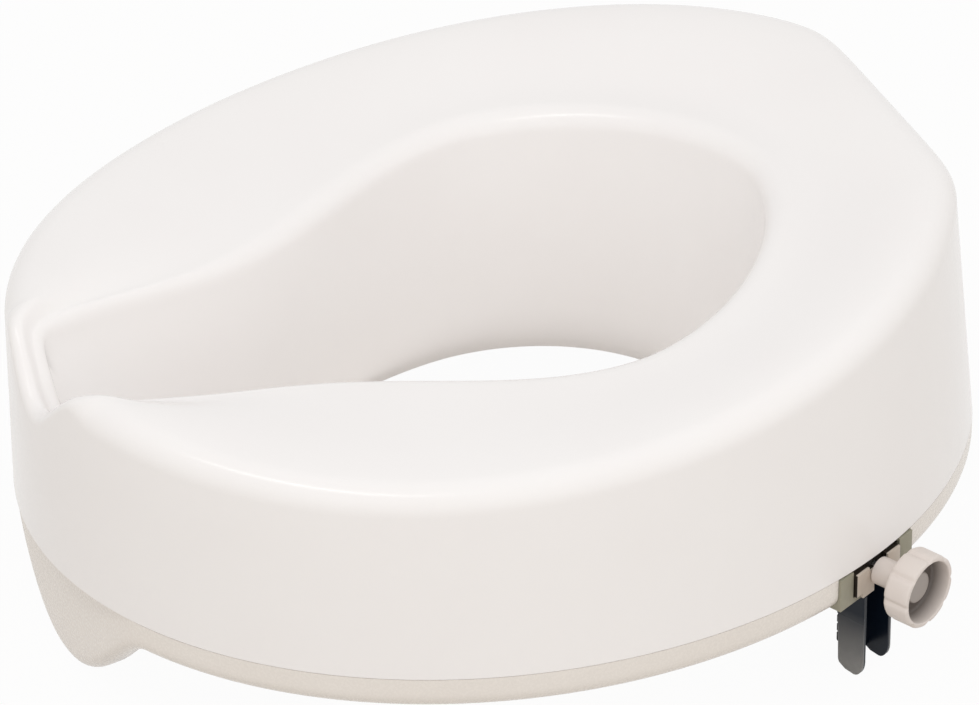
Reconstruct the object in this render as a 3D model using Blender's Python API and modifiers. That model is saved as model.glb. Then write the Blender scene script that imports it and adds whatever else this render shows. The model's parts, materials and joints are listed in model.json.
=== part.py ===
# Raised toilet seat: a hollow moulded seat on a base tray, held to the bowl by two knob driven clamps.
# Metres, +Z up, user's left is +X, front is -Y. The origin is on the standing surface, under the middle.

import math

import bmesh
import bpy
from mathutils import Matrix, Vector

for old_object in list(bpy.data.objects):
    bpy.data.objects.remove(old_object, do_unlink=True)

# Seat body, measured from its widest station at the seam between shell and tray
SEAT_WIDTH = 0.343
FRONT_REACH = 0.2056
OVAL_REAR = 0.2066
BACK_REACH = 0.1944
WALL_DRAFT = 0.0045
FRONT_LEAN = 0.002
BACK_LEAN = 0.0104
BACK_CORNER = 70

# Heights: the whole seat, the lip below the base, the band below the seam, and the saddle of the rim
SEAT_HEIGHT = 0.1774
LIP_DROP = 0.041
BAND_HEIGHT = 0.016
BACK_RISE = 0.0319
FRONT_RISE = 0.007
RIM_BACK = SEAT_HEIGHT - LIP_DROP - BAND_HEIGHT
RIM_LOW = RIM_BACK - BACK_RISE
RIM_FRONT = RIM_LOW + FRONT_RISE
RIM_LOW_Y = -0.105
RIM_BACK_POWER = 1.7
RIM_FRONT_POWER = 2

# Keyhole opening in the seat face: an oval with a channel to the front
OPENING_WIDTH = 0.182
OPENING_MID_Y = 0.022
OPENING_BACK = 0.118
OPENING_BACK_POWER = 1.72
CHANNEL_WIDTH = 0.066
CHANNEL_FLARE = 0.027
CHANNEL_END_Y = -0.128
CHANNEL_SWELL = 1.5
CHANNEL_CORNER = 12
RIDGE_THICK = 0.0165
DISH = 0.006
DISH_START_Y = -0.320
DISH_RUN = 0.280
NOTCH_DIP = 0.027
NOTCH_WIDTH = 0.078

# Hole at the bottom of the funnel, its width a share of the seat's
HOLE_SHARE = 0.4548
HOLE_WIDTH = HOLE_SHARE * SEAT_WIDTH
HOLE_MID_Y = 0.014
HOLE_BACK = 0.102
HOLE_FRONT = 0.116
HOLE_BACK_POWER = 2.0
HOLE_FRONT_POWER = 1.7
FUNNEL_POWER = 1.15
COLLAR_HEIGHT = 0.006

# Walls, rounds and gaps
SHELL_WALL = 0.0035
TRAY_WALL = 0.004
OUTER_ROUND = 0.012
INNER_ROUND = 0.010
BAND_ROUND = 0.008
FOOT_FLANGE = 0.0055
LAP_HEIGHT = 0.008
LAP_GAP = 0.0007
FIT_GAP = 0.0003

# Front lip under the tray
LIP_WIDTH = 0.134
LIP_STEP = 0.008
LIP_TAPER = 0.001
LIP_FLAT = 0.006
LIP_ROUND = 0.006
LIP_HEEL = 0.012
LIP_SIDE_POWER = 2.3
LIP_EDGE_POWER = 1.7

# Rubber pads under the tray
PAD_LENGTH = 0.044
PAD_WIDTH = 0.018
PAD_THICK = 0.0045
PAD_CORNER = 0.0063
PAD_FRONT_ANGLE = math.radians(52)
PAD_REAR_ANGLE = math.radians(157)

# Clamp station and travel
CLAMP_Y = 0.105
AXIS_DROP = 0.007
TRAVEL_IN = 0.008
TRAVEL_OUT = 0.017
END_GAP = 0.0005

# Clamp guide
GUIDE_WIDTH = 0.048
RAIL_WALL = 0.0085
ROOF_WALL = 0.0017
GUIDE_INSET = 0.0002
LIP_LEDGE = 0.005
LEDGE_WALL = 0.0022
GUIDE_CLEARANCE = 0.0127
NUT_BLOCK = 0.008
GUIDE_BACK_WALL = 0.003
EAR_LENGTH = 0.009
EAR_REACH = 0.0075
EAR_THICK = 0.002
EAR_SETBACK = 0.010

# Slider, arm and grip pad
SLIDER_PROUD = 0.001
PLATE_THICK = 0.004
CLIP_POCKET = 0.005
CLIP_POCKET_WIDTH = 0.011
ARM_WIDTH = 0.019
ARM_DEPTH = 0.014
ARM_SHEET = 0.002
ARM_BEND = 0.003
ARM_TAB_SETBACK = 0.002
ARM_WEB_RISE = 0.004
ARM_TIP_RISE = 0.007
ARM_TIP_DEPTH = 0.0095
ARM_HEEL_DEPTH = 0.005
ARM_HEEL_RISE = 0.0008
GRIP_THICK = 0.0025
GRIP_WIDTH = 0.012
GRIP_EDGE = 0.0008
GRIP_HEIGHT = 0.022
GRIP_RISE = 0.010

# Spindle, nut, washer and clip
SPINDLE_RADIUS = 0.0025
SPINDLE_TIP = 0.001
CLIP_GROOVE_DEPTH = 0.0006
NUT_SIZE = 0.008
NUT_THICK = 0.0045
WASHER_RADIUS = 0.004
WASHER_THICK = 0.0012
CLIP_RADIUS = 0.0038
CLIP_THICK = 0.001
CLIP_OPENING = math.radians(70)

# Knob
KNOB_RADIUS = 0.016
KNOB_DEPTH = 0.0125
KNOB_STANDOFF = 0.0145
KNOB_LOBES = 8
KNOB_GROOVE = 0.0014
KNOB_GROOVE_ANGLE = math.radians(8)
KNOB_EDGE = 0.0015
KNOB_WALL = 0.0028
KNOB_CUP = 0.0085
KNOB_HUB_RADIUS = 0.005
KNOB_HUB_HEIGHT = 0.003
KNOB_HUB_TAPER = 0.0007
KNOB_SOCKET = 0.009
NECK_RADIUS = 0.006

# Screws
SCREW_RADIUS = 0.0015
SCREW_HEAD_RADIUS = 0.003
SCREW_HEAD = 0.0015
SCREW_CHAMFER = 0.0009
SCREW_GRIP = 0.006
ARM_SCREW_EDGE = 0.0032
ARM_SCREW_SPREAD = ARM_WIDTH - 2 * ARM_SCREW_EDGE

# Mesh density
END_ARC = math.radians(24)
END_STEPS = 12
SIDE_STEPS = 22
ROUND_STEPS = 3
TURN_STEPS = 24
TIP_STEPS = 6
FACE_STATIONS = (0.3, 0.7)
FUNNEL_STATIONS = (0.45, 0.8)
ROUND_SHARE = 0.45
HALVINGS = 40

# Places that follow from the sizes
RAY_Y = 0.010
SEAM_Z = LIP_DROP + BAND_HEIGHT
WIDEST_Y = (FRONT_REACH + FRONT_LEAN - BACK_REACH) / 2
FLOOR_Z = -BAND_HEIGHT
BIG = 0.5
TINY = 1e-6

part_collection = bpy.data.collections.new("raised_toilet_seat")
cutter_collection = bpy.data.collections.new("cutters")
for collection in (part_collection, cutter_collection):
    bpy.context.scene.collection.children.link(collection)


def linear(channel):
    if channel <= 0.04045:
        return channel / 12.92
    return ((channel + 0.055) / 1.055) ** 2.4


def finish(name, colour, roughness, metallic=0.0):
    material = bpy.data.materials.new(name)
    material.use_nodes = True
    shader = material.node_tree.nodes["Principled BSDF"]
    shader.inputs["Base Color"].default_value = [linear(c / 255) for c in colour] + [1]
    shader.inputs["Roughness"].default_value = roughness
    shader.inputs["Metallic"].default_value = metallic
    return material


WHITE = finish("white_polypropylene", (240, 235, 233), 0.3)
TRAY_WHITE = finish("white_polypropylene_base", (226, 220, 216), 0.35)
GUIDE_GREY = finish("grey_guide_plastic", (150, 149, 138), 0.45)
KNOB_GREY = finish("warm_grey_plastic", (203, 190, 180), 0.4)
ARM_STEEL = finish("black_coated_steel", (42, 43, 47), 0.25, 0.8)
ZINC = finish("zinc_plated_steel", (172, 172, 168), 0.35, 1.0)
RUBBER = finish("black_rubber", (30, 30, 31), 0.8)


def place(name, mesh, parent, collection=part_collection):
    item = bpy.data.objects.new(name, mesh)
    item.parent = parent
    collection.objects.link(item)
    return item


def make(name, bm, material, parent=None):
    bmesh.ops.recalc_face_normals(bm, faces=bm.faces)
    mesh = bpy.data.meshes.new(name)
    bm.to_mesh(mesh)
    bm.free()
    mesh.materials.append(material)
    mesh.shade_smooth()
    mesh.set_sharp_from_angle(angle=math.radians(35))
    return place(name, mesh, parent)


def cutter(name, bm, parent=None):
    bmesh.ops.recalc_face_normals(bm, faces=bm.faces)
    mesh = bpy.data.meshes.new(name)
    bm.to_mesh(mesh)
    bm.free()
    item = place(name, mesh, parent, cutter_collection)
    item.hide_render = True
    item.display_type = "WIRE"
    return item


def boolean(item, operand, operation):
    modifier = item.modifiers.new(operand.name, "BOOLEAN")
    modifier.operation = operation
    modifier.object = operand


def add_box(bm, low, high):
    low, high = Vector(low), Vector(high)
    size = Matrix.Diagonal(high - low).to_4x4()
    bmesh.ops.create_cube(bm, size=1, matrix=Matrix.Translation((low + high) / 2) @ size)


# A rod along local X (across the rim) or Z, between two stations
def add_rod(bm, start, end, radius, along):
    turn = Matrix.Rotation(math.pi / 2, 4, "Y") if along == "X" else Matrix.Identity(4)
    middle = Matrix.Translation((Vector(start) + Vector(end)) / 2)
    length = (Vector(end) - Vector(start)).length
    bmesh.ops.create_cone(bm, cap_ends=True, segments=TURN_STEPS, radius1=radius, radius2=radius,
                          depth=length, matrix=middle @ turn)


# A flat outline pushed along a vector
def add_prism(bm, outline, push):
    face = bm.faces.new([bm.verts.new(point) for point in outline])
    grown = bmesh.ops.extrude_face_region(bm, geom=[face])
    moved = [item for item in grown["geom"] if isinstance(item, bmesh.types.BMVert)]
    bmesh.ops.translate(bm, verts=moved, vec=push)


# A profile of (along, radius) pairs turned about local X
def turned(profile, angle=2 * math.pi):
    bm = bmesh.new()
    points = [bm.verts.new((along, 0, radius)) for along, radius in profile]
    edges = [bm.edges.new(pair) for pair in zip(points, points[1:])]
    closed = angle < 2 * math.pi
    steps = round(TURN_STEPS * angle / (2 * math.pi))
    if closed:
        edges.append(bm.edges.new((points[-1], points[0])))
    bmesh.ops.spin(bm, geom=points + edges, cent=(0, 0, 0), axis=(1, 0, 0), angle=angle,
                   steps=steps, use_merge=not closed)
    bmesh.ops.remove_doubles(bm, verts=bm.verts, dist=1e-6)
    if closed:
        bmesh.ops.holes_fill(bm, edges=[edge for edge in bm.edges if edge.is_boundary])
    return bm


# Rows of points joined into bands, each row closed on itself
def loft(rows, cap_ends=False):
    bm = bmesh.new()
    rings = [[bm.verts.new(point) for point in row] for row in rows]
    for lower, upper in zip(rings, rings[1:]):
        for i in range(len(lower)):
            j = (i + 1) % len(lower)
            bm.faces.new((lower[i], lower[j], upper[j], upper[i]))
    if cap_ends:
        bm.faces.new(rings[0])
        bm.faces.new(rings[-1])
    return bm


def smooth(value):
    value = min(max(value, 0), 1)
    return value * value * (3 - 2 * value)


# Directions round the seat, from the front, with closer steps at the front notch and the back corners
def columns():
    end = [END_ARC * i / END_STEPS for i in range(END_STEPS)]
    side = [END_ARC + (math.pi - 2 * END_ARC) * i / SIDE_STEPS for i in range(SIDE_STEPS)]
    half = end + side + [math.pi - angle for angle in reversed(end + [END_ARC])]
    return half[:-1] + [2 * math.pi - angle for angle in reversed(half[1:])]


def point(angle, radius, z):
    return (radius * math.sin(angle), RAY_Y - radius * math.cos(angle), z)


# Distance from the ray centre to the edge of a shape, by halving
def edge_distance(angle, inside):
    low, high = 0.0, BIG
    for _ in range(HALVINGS):
        middle = (low + high) / 2
        x, y, _ = point(angle, middle, 0)
        if inside(x, y):
            low = middle
        else:
            high = middle
    return low


def soft_least(a, b, sharpness):
    return (a ** -sharpness + b ** -sharpness) ** (-1 / sharpness)


# Outer wall at a share of its height, 0 at the seam and 1 at the rim
def wall_distance(angle, lift):
    half = SEAT_WIDTH / 2 - WALL_DRAFT * lift
    front = FRONT_REACH + FRONT_LEAN * lift
    rear = OVAL_REAR - BACK_LEAN * lift

    def in_oval(x, y):
        reach = front if y < 0 else rear
        return (x / half) ** 2 + (y / reach) ** 2 < 1

    oval = edge_distance(angle, in_oval)
    toward_back = -math.cos(angle)
    if toward_back <= 0:
        return oval
    flat = (BACK_REACH - BACK_LEAN * lift - RAY_Y) / max(toward_back, TINY)
    return soft_least(oval, flat, BACK_CORNER)


def opening_half_width(y):
    half = OPENING_WIDTH / 2
    if y >= OPENING_MID_Y:
        share = (y - OPENING_MID_Y) / (OPENING_BACK - OPENING_MID_Y)
        return half * max(1 - share ** OPENING_BACK_POWER, 0) ** (1 / OPENING_BACK_POWER)
    channel_front = -FRONT_REACH + RIDGE_THICK
    along = (y - channel_front) / (OPENING_MID_Y - channel_front)
    channel = CHANNEL_WIDTH / 2 + CHANNEL_FLARE * max(along, 0)
    swell = smooth((y - CHANNEL_END_Y) / (OPENING_MID_Y - CHANNEL_END_Y)) ** CHANNEL_SWELL
    return channel + (half - channel) * swell


def opening_distance(angle):
    side = edge_distance(angle, lambda x, y: abs(x) < opening_half_width(y))
    toward_front = math.cos(angle)
    if toward_front <= 0:
        return side
    front = (FRONT_REACH + FRONT_LEAN - RIDGE_THICK + RAY_Y) / max(toward_front, TINY)
    return soft_least(side, front, CHANNEL_CORNER)


def hole_distance(angle):
    def in_hole(x, y):
        ahead = y < HOLE_MID_Y
        reach = HOLE_FRONT + HOLE_MID_Y if ahead else HOLE_BACK - HOLE_MID_Y
        power = HOLE_FRONT_POWER if ahead else HOLE_BACK_POWER
        return abs(2 * x / HOLE_WIDTH) ** power + abs((y - HOLE_MID_Y) / reach) ** power < 1

    return edge_distance(angle, in_hole)


def rim_height(y):
    if y > RIM_LOW_Y:
        share = (y - RIM_LOW_Y) / (BACK_REACH - RIM_LOW_Y)
        return RIM_LOW + (RIM_BACK - RIM_LOW) * share ** RIM_BACK_POWER
    share = (RIM_LOW_Y - y) / (FRONT_REACH + RIM_LOW_Y)
    return RIM_LOW + (RIM_FRONT - RIM_LOW) * share ** RIM_FRONT_POWER


# The seat face falls towards the opening, except at the tips of the two arms
def dish_depth(y):
    return DISH * smooth((y - DISH_START_Y) / DISH_RUN)


def notch_depth(x, y):
    if y > 0:
        return 0
    return NOTCH_DIP * (1 - smooth(abs(2 * x) / NOTCH_WIDTH))


# How far down the lip reaches at a place across the front, as a share of its full drop
def lip_share(x, y):
    across = abs(2 * x) / LIP_WIDTH
    if y > 0 or across >= 1:
        return 0
    return (1 - across ** LIP_SIDE_POWER) ** LIP_EDGE_POWER


# How far the tray stands in from the foot of the shell, above the lip
def lip_step(angle):
    x, y, _ = point(angle, wall_distance(angle, 0), 0)
    return LIP_STEP * lip_share(x, y)


# One slice of the shell, from the flange at its foot up the wall, over the seat face and down the funnel
def shell_slice(angle):
    top, inner = wall_distance(angle, 1), opening_distance(angle)
    outer_round = min(OUTER_ROUND, ROUND_SHARE * (top - inner))
    inner_round = min(INNER_ROUND, ROUND_SHARE * (top - inner))
    outer_z = rim_height(point(angle, top, 0)[1])
    inner_y = point(angle, inner, 0)[1]
    inner_z = rim_height(inner_y) - dish_depth(inner_y)

    rim_points = []
    for i in range(ROUND_STEPS + 1):
        turn = math.pi / 2 * i / ROUND_STEPS
        rim_points.append((top - outer_round * (1 - math.cos(turn)),
                           outer_z - outer_round * (1 - math.sin(turn))))
    start, end = top - outer_round, inner + inner_round
    for share in FACE_STATIONS:
        rim_points.append((start + (end - start) * share, outer_z + (inner_z - outer_z) * smooth(share)))
    for i in range(ROUND_STEPS + 1):
        turn = math.pi / 2 * i / ROUND_STEPS
        rim_points.append((inner + inner_round * (1 - math.sin(turn)),
                           inner_z - inner_round * (1 - math.cos(turn))))

    foot = wall_distance(angle, 0)
    slice_points = [(foot - FOOT_FLANGE - lip_step(angle), 0), (foot, 0)]
    for radius, z in rim_points:
        x, y, _ = point(angle, radius, 0)
        slice_points.append((radius, z - notch_depth(x, y)))
    hole = hole_distance(angle)
    collar_foot = FLOOR_Z + TRAY_WALL + FIT_GAP
    collar_top = collar_foot + COLLAR_HEIGHT
    wall_top = slice_points[-1][1]
    for share in FUNNEL_STATIONS:
        slice_points.append((inner + (hole - inner) * share ** FUNNEL_POWER,
                             wall_top + (collar_top - wall_top) * share))
    slice_points += [(hole, collar_top), (hole, collar_foot)]
    return [point(angle, radius, z) for radius, z in slice_points]


# One slice of the tray, from the edge of the hole outwards, under the lip and up inside the shell
def tray_slice(angle):
    edge = wall_distance(angle, 0)
    edge_x, edge_y, _ = point(angle, edge, 0)
    share = lip_share(edge_x, edge_y)
    low = FLOOR_Z - LIP_DROP * share
    step = lip_step(angle)
    brow = edge - step
    tongue = step + FOOT_FLANGE + LAP_GAP
    toe = brow - LIP_TAPER * share
    heel = toe - BAND_ROUND - LIP_FLAT
    slice_points = [(hole_distance(angle), FLOOR_Z),
                    (heel - LIP_ROUND - LIP_HEEL, FLOOR_Z),
                    (heel - LIP_ROUND, low + LIP_ROUND * share),
                    (heel, low)]
    for i in range(ROUND_STEPS + 1):
        turn = math.pi / 2 * (1 - i / ROUND_STEPS)
        slice_points.append((toe - BAND_ROUND * (1 - math.cos(turn)),
                             low + BAND_ROUND * (1 - math.sin(turn))))
    lift = LAP_HEIGHT / RIM_LOW
    slice_points += [(brow, -LAP_GAP), (edge - tongue, -LAP_GAP),
                     (wall_distance(angle, lift) - tongue, LAP_HEIGHT)]
    return [point(angle, radius, z) for radius, z in slice_points]


def lofted_wall(name, slice_of, wall, material, parent):
    slices = [slice_of(angle) for angle in columns()]
    bm = loft(list(zip(*slices)))
    item = make_open(name, bm, material, parent)
    solidify = item.modifiers.new("wall", "SOLIDIFY")
    solidify.thickness = wall
    solidify.offset = -1
    solidify.use_even_offset = True
    return item


def make_open(name, bm, material, parent):
    mesh = bpy.data.meshes.new(name)
    bm.to_mesh(mesh)
    bm.free()
    mesh.materials.append(material)
    mesh.shade_smooth()
    return place(name, mesh, parent)


# Seat shell and base tray, modelled from the widest station at seam height
seat = bpy.data.objects.new("seat", None)
seat.location = (0, WIDEST_Y, SEAM_Z)
part_collection.objects.link(seat)
seat_shell = lofted_wall("seat_shell", shell_slice, SHELL_WALL, WHITE, seat)
base_tray = lofted_wall("base_tray", tray_slice, TRAY_WALL, TRAY_WHITE, seat)


# Rubber pad under the tray, midway between the band and the hole, lying along the rim
def bowl_pad(name, angle):
    outer = wall_distance(angle, 0) - BAND_ROUND
    middle = (outer + hole_distance(angle)) / 2
    bm = bmesh.new()
    add_box(bm, (-PAD_LENGTH / 2, -PAD_WIDTH / 2, -PAD_THICK), (PAD_LENGTH / 2, PAD_WIDTH / 2, 0))
    uprights = [edge for edge in bm.edges if abs(edge.verts[0].co.z - edge.verts[1].co.z) > PAD_THICK / 2]
    bmesh.ops.bevel(bm, geom=uprights, offset=PAD_CORNER, segments=4, profile=0.5, affect="EDGES")
    pad = make(name, bm, RUBBER, seat)
    pad.location = point(angle, middle, FLOOR_Z - FIT_GAP)
    pad.rotation_euler = (0, 0, angle)


for side_name, side in (("left", 1), ("right", -1)):
    bowl_pad("bowl_pad_front_" + side_name, side * PAD_FRONT_ANGLE)
    bowl_pad("bowl_pad_rear_" + side_name, side * PAD_REAR_ANGLE)

# Clamp levels and stations: local X points out across the rim, Z is up, the spindle axis is the origin
SEAM = AXIS_DROP
BASE = AXIS_DROP - BAND_HEIGHT
FOOT = BASE - LIP_DROP
GUIDE_HALF = GUIDE_WIDTH / 2
CAVITY_HALF = GUIDE_HALF - RAIL_WALL
SLOT_HALF = CAVITY_HALF - LIP_LEDGE
GUIDE_TOP = SEAM - LAP_GAP
ROOF = GUIDE_TOP - ROOF_WALL
LEDGE = BASE + LEDGE_WALL
GUIDE_FRONT = -GUIDE_INSET
SLIDER_FRONT = SLIDER_PROUD

# The guide takes the room between the wall and the hole, and the slider what its travel leaves of it
GUIDE_LENGTH = (SEAT_WIDTH - HOLE_WIDTH) / 2 - GUIDE_CLEARANCE
GUIDE_BACK = GUIDE_FRONT - GUIDE_LENGTH
CHAMBER_BACK = GUIDE_BACK + GUIDE_BACK_WALL
SPINDLE_END = CHAMBER_BACK + TRAVEL_IN + END_GAP
BLOCK_BACK = SPINDLE_END + TRAVEL_OUT
BLOCK_FRONT = BLOCK_BACK + NUT_BLOCK
SLIDER_BACK = BLOCK_FRONT + TRAVEL_IN + END_GAP
SLIDER_LENGTH = SLIDER_FRONT - SLIDER_BACK
PLATE_BACK = SLIDER_FRONT - PLATE_THICK
CLIP_BACK = PLATE_BACK - CLIP_POCKET
ARM_BACK = SLIDER_FRONT - ARM_DEPTH
ARM_TAB = SLIDER_LENGTH - ARM_DEPTH - ARM_TAB_SETBACK
EAR_MIDDLE = GUIDE_FRONT - EAR_SETBACK - EAR_LENGTH / 2
EAR_SCREW = GUIDE_HALF + EAR_REACH / 2
EAR_TOP = BASE - FIT_GAP
ARM_TOP = BASE - FIT_GAP
ARM_SCREW_X = ARM_BACK - ARM_TAB / 2
RUN = SPINDLE_RADIUS + FIT_GAP


def clamp_frame(side_name, side):
    x = SEAT_WIDTH / 2 * math.sqrt(1 - (CLAMP_Y / OVAL_REAR) ** 2)
    facing = math.atan2(CLAMP_Y / OVAL_REAR ** 2, x / (SEAT_WIDTH / 2) ** 2)
    frame = bpy.data.objects.new("clamp_" + side_name, None)
    frame.parent = seat
    frame.location = (side * x, CLAMP_Y, -AXIS_DROP)
    frame.rotation_euler = (0, 0, facing if side > 0 else math.pi - facing)
    part_collection.objects.link(frame)
    return frame


def clamp_guide(side_name, frame):
    bm = bmesh.new()
    add_box(bm, (GUIDE_BACK, -GUIDE_HALF, BASE), (GUIDE_FRONT, GUIDE_HALF, GUIDE_TOP))
    guide = make("clamp_guide_" + side_name, bm, GUIDE_GREY, frame)

    ears = bmesh.new()
    for end in (-1, 1):
        near, far = end * (CAVITY_HALF + FIT_GAP), end * (GUIDE_HALF + EAR_REACH)
        wall = end * (GUIDE_HALF - FIT_GAP)
        back, front = EAR_MIDDLE - EAR_LENGTH / 2, EAR_MIDDLE + EAR_LENGTH / 2
        profile = [(back, near, EAR_TOP - EAR_THICK), (back, far, EAR_TOP - EAR_THICK), (back, far, EAR_TOP),
                   (back, wall, EAR_TOP), (back, wall, LEDGE), (back, near, LEDGE)]
        add_prism(ears, profile, (front - back, 0, 0))
    boolean(guide, cutter("guide_ears_" + side_name, ears, frame), "UNION")

    space = bmesh.new()
    add_box(space, (BLOCK_FRONT, -CAVITY_HALF, LEDGE), (BIG, CAVITY_HALF, ROOF))
    boolean(guide, cutter("guide_runway_" + side_name, space, frame), "DIFFERENCE")
    space = bmesh.new()
    add_box(space, (BLOCK_FRONT, -SLOT_HALF, -BIG), (BIG, SLOT_HALF, LEDGE + FIT_GAP))
    boolean(guide, cutter("guide_slot_" + side_name, space, frame), "DIFFERENCE")
    space = bmesh.new()
    neck_half = NECK_RADIUS + END_GAP
    add_box(space, (SLIDER_FRONT - TRAVEL_IN - END_GAP, -neck_half, 0), (BIG, neck_half, BIG))
    boolean(guide, cutter("guide_neck_slot_" + side_name, space, frame), "DIFFERENCE")
    space = bmesh.new()
    add_box(space, (CHAMBER_BACK, -CAVITY_HALF, -BIG), (BLOCK_BACK, CAVITY_HALF, ROOF))
    boolean(guide, cutter("guide_chamber_" + side_name, space, frame), "DIFFERENCE")
    space = bmesh.new()
    add_rod(space, (BLOCK_BACK - NUT_BLOCK / 2, 0, 0), (BLOCK_FRONT + NUT_BLOCK / 2, 0, 0), RUN, "X")
    boolean(guide, cutter("guide_bore_" + side_name, space, frame), "DIFFERENCE")
    space = bmesh.new()
    nut_x, reach = (BLOCK_FRONT + BLOCK_BACK) / 2, NUT_SIZE / 2 + FIT_GAP
    add_box(space, (nut_x - NUT_THICK / 2 - FIT_GAP, -reach, -BIG),
            (nut_x + NUT_THICK / 2 + FIT_GAP, reach, reach))
    boolean(guide, cutter("nut_pocket_" + side_name, space, frame), "DIFFERENCE")

    holes = bmesh.new()
    hole_low, hole_high = EAR_TOP - 2 * EAR_THICK, EAR_TOP + SCREW_GRIP + 2 * TRAY_WALL
    for end in (-1, 1):
        add_rod(holes, (EAR_MIDDLE, end * EAR_SCREW, hole_low), (EAR_MIDDLE, end * EAR_SCREW, hole_high),
                SCREW_RADIUS + FIT_GAP, "Z")
    screw_holes = cutter("guide_screw_holes_" + side_name, holes, frame)
    boolean(guide, screw_holes, "DIFFERENCE")
    boolean(base_tray, screw_holes, "DIFFERENCE")

    pocket = bmesh.new()
    add_box(pocket, (GUIDE_BACK - FIT_GAP, -GUIDE_HALF - FIT_GAP, -BIG), (BIG, GUIDE_HALF + FIT_GAP, SEAM))
    boolean(base_tray, cutter("guide_pocket_" + side_name, pocket, frame), "DIFFERENCE")


def spindle_nut(side_name, frame):
    middle = (BLOCK_FRONT + BLOCK_BACK) / 2
    bm = bmesh.new()
    add_box(bm, (middle - NUT_THICK / 2, -NUT_SIZE / 2, -NUT_SIZE / 2),
            (middle + NUT_THICK / 2, NUT_SIZE / 2, NUT_SIZE / 2))
    nut = make("spindle_nut_" + side_name, bm, ZINC, frame)
    bore = bmesh.new()
    add_rod(bore, (middle - NUT_THICK, 0, 0), (middle + NUT_THICK, 0, 0), RUN, "X")
    boolean(nut, cutter("nut_bore_" + side_name, bore, frame), "DIFFERENCE")


# A low headed screw driven upwards, its head against the face at the given height
def screw(name, frame, x, y, face, grip):
    seat_z = face - FIT_GAP
    profile = [(-SCREW_HEAD, 0), (-SCREW_HEAD, SCREW_HEAD_RADIUS - SCREW_CHAMFER),
               (SCREW_CHAMFER - SCREW_HEAD, SCREW_HEAD_RADIUS), (0, SCREW_HEAD_RADIUS), (0, SCREW_RADIUS),
               (grip - SCREW_RADIUS, SCREW_RADIUS), (grip, 0)]
    bm = turned(profile)
    bmesh.ops.rotate(bm, verts=bm.verts, cent=(0, 0, 0), matrix=Matrix.Rotation(-math.pi / 2, 3, "Y"))
    item = make(name, bm, ZINC, frame)
    item.location = (x, y, seat_z)


def clamp_slider(side_name, frame):
    flange = CAVITY_HALF - FIT_GAP
    foot = SLOT_HALF - FIT_GAP
    outline = [(-foot, BASE), (foot, BASE), (foot, LEDGE + FIT_GAP), (flange, LEDGE + FIT_GAP),
               (flange, ROOF - FIT_GAP), (-flange, ROOF - FIT_GAP), (-flange, LEDGE + FIT_GAP),
               (-foot, LEDGE + FIT_GAP)]
    bm = bmesh.new()
    add_prism(bm, [(SLIDER_BACK, y, z) for y, z in outline], (SLIDER_LENGTH, 0, 0))
    slider = make("clamp_slider_" + side_name, bm, KNOB_GREY, frame)

    space = bmesh.new()
    add_box(space, (CLIP_BACK, -CLIP_POCKET_WIDTH / 2, -BIG), (PLATE_BACK, CLIP_POCKET_WIDTH / 2, BIG))
    boolean(slider, cutter("clip_pocket_" + side_name, space, frame), "DIFFERENCE")
    space = bmesh.new()
    add_rod(space, (SLIDER_BACK - CLIP_POCKET, 0, 0), (CLIP_BACK + CLIP_POCKET / 2, 0, 0), RUN, "X")
    boolean(slider, cutter("slider_bore_" + side_name, space, frame), "DIFFERENCE")
    space = bmesh.new()
    arch = [(RUN * math.cos(turn), RUN * math.sin(turn)) for turn in
            (math.pi * i / (TURN_STEPS // 2) for i in range(TURN_STEPS // 2 + 1))]
    outline = arch + [(-RUN, 2 * BASE), (RUN, 2 * BASE)]
    back = PLATE_BACK - CLIP_POCKET / 2
    add_prism(space, [(back, y, z) for y, z in outline], (PLATE_THICK + CLIP_POCKET, 0, 0))
    boolean(slider, cutter("spindle_slot_" + side_name, space, frame), "DIFFERENCE")
    space = bmesh.new()
    for end in (-1, 1):
        y = end * ARM_SCREW_SPREAD / 2
        add_rod(space, (ARM_SCREW_X, y, 2 * BASE), (ARM_SCREW_X, y, ARM_TOP + SCREW_GRIP),
                SCREW_RADIUS + FIT_GAP, "Z")
    screw_holes = cutter("arm_screw_holes_" + side_name, space, frame)
    boolean(slider, screw_holes, "DIFFERENCE")
    return screw_holes


# Side view of the arm: a tab under the slider and a channel that ends in a rounded tongue
def arm_side():
    top, under = ARM_TOP, ARM_TOP - ARM_SHEET
    tip_x = ARM_BACK + ARM_TIP_DEPTH
    tab = ARM_BACK - ARM_TAB
    left = [(ARM_BACK, FOOT + ARM_WEB_RISE), (ARM_BACK, under), (tab, under), (tab, top)]
    right = [(SLIDER_FRONT, top)]
    tongue = []
    for i in range(TIP_STEPS + 1):
        turn = math.pi / 2 * i / TIP_STEPS
        tongue.append((tip_x + (SLIDER_FRONT - tip_x) * math.cos(turn),
                       FOOT + ARM_TIP_RISE * (1 - math.sin(turn))))
    inner = [(ARM_BACK + ARM_HEEL_DEPTH, FOOT + ARM_HEEL_RISE)]
    return left + right + tongue + inner


# Plan of the arm: a channel open outwards with rounded bends, and the tab behind its web
def arm_plan():
    half, inside = ARM_WIDTH / 2, ARM_WIDTH / 2 - ARM_SHEET
    front, web = SLIDER_FRONT, ARM_BACK + ARM_SHEET
    bend = ARM_BEND - ARM_SHEET
    groove = []
    for turn in (0, math.pi / 4, math.pi / 2):
        groove.append((web + bend * (1 - math.sin(turn)), inside - bend * (1 - math.cos(turn))))
    side = [(ARM_BACK - ARM_TAB, half), (front, half), (front, inside)] + groove
    return side + [(x, -y) for x, y in reversed(side)]


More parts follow.
